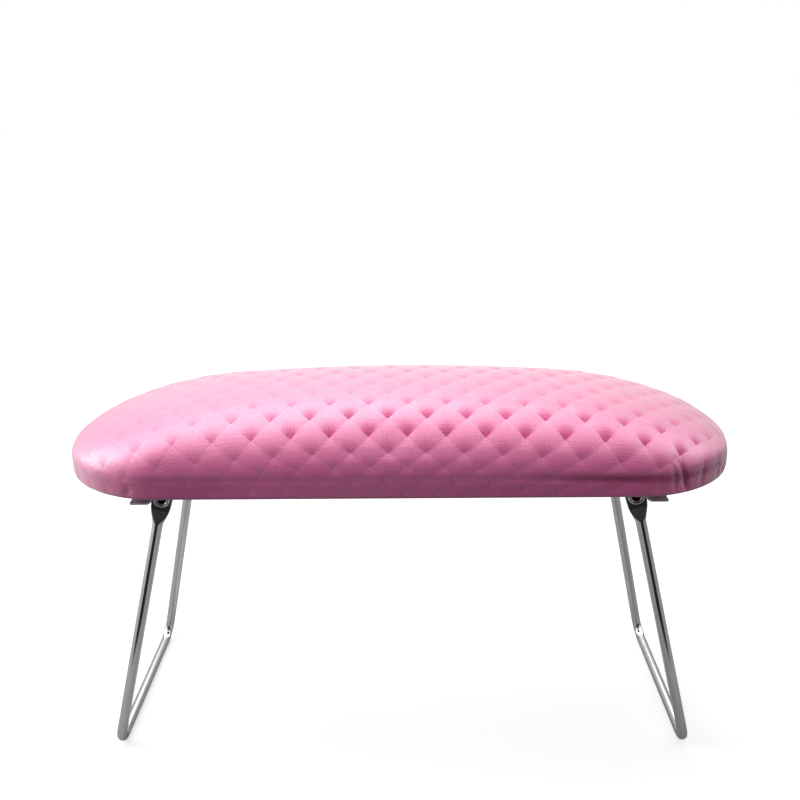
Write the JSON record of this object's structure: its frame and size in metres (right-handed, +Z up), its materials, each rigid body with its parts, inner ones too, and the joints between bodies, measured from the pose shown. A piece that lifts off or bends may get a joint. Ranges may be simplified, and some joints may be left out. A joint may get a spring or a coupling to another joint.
{
  "type": "manicure hand rest",
  "caption": "Domed, quilted hand rest cushion on a stadium-shaped board, standing on two wire legs that fold flat under it on riveted hinge plates.",
  "frame": {"origin": "on the table, under the middle of the cushion, at the height that the crossbars stand on", "axes": "+X along the cushion's length, +Y across it towards the rear, +Z up"},
  "size_m": [0.4, 0.133, 0.2277],
  "materials": {
    "cover_leatherette": "quilted, finely grained, soft sheen",
    "backing_leatherette": "embossed diamonds, finely grained",
    "foam": "open-cell upholstery foam",
    "plywood": "plain plywood",
    "card": "stiff backing card",
    "plate_steel": "plated pressed steel",
    "rivet_steel": "plated, rolled head",
    "fastener_steel": "plated",
    "leg_chrome": "polished chrome"
  },
  "bodies": {
    "cushion": {"top_cover": "cover_leatherette", "foam_pad": "foam", "base_board": "plywood", "cover_staples": "fastener_steel", "backing_card": "card", "backing_cover": "backing_leatherette", "left_hinge_plate": "plate_steel", "right_hinge_plate": "plate_steel", "left_screw_front": "fastener_steel", "left_screw_rear": "fastener_steel", "left_screw_outer": "fastener_steel", "right_screw_front": "fastener_steel", "right_screw_rear": "fastener_steel", "right_screw_outer": "fastener_steel", "left_rivet_front": "rivet_steel", "left_rivet_rear": "rivet_steel", "right_rivet_front": "rivet_steel", "right_rivet_rear": "rivet_steel"},
    "left_leg": {"left_leg": "leg_chrome"},
    "right_leg": {"right_leg": "leg_chrome"}
  },
  "joints": [
    {"name": "left_leg_fold", "type": "hinge", "parent": "cushion", "child": "left_leg", "pos_m": [-0.138, 0, 0.16892], "axis": [0, -1, 0], "range_deg": [0, 105.9]},
    {"name": "right_leg_fold", "type": "hinge", "parent": "cushion", "child": "right_leg", "pos_m": [0.138, 0, 0.16892], "axis": [0, 1, 0], "range_deg": [0, 103.1]}
  ]
}
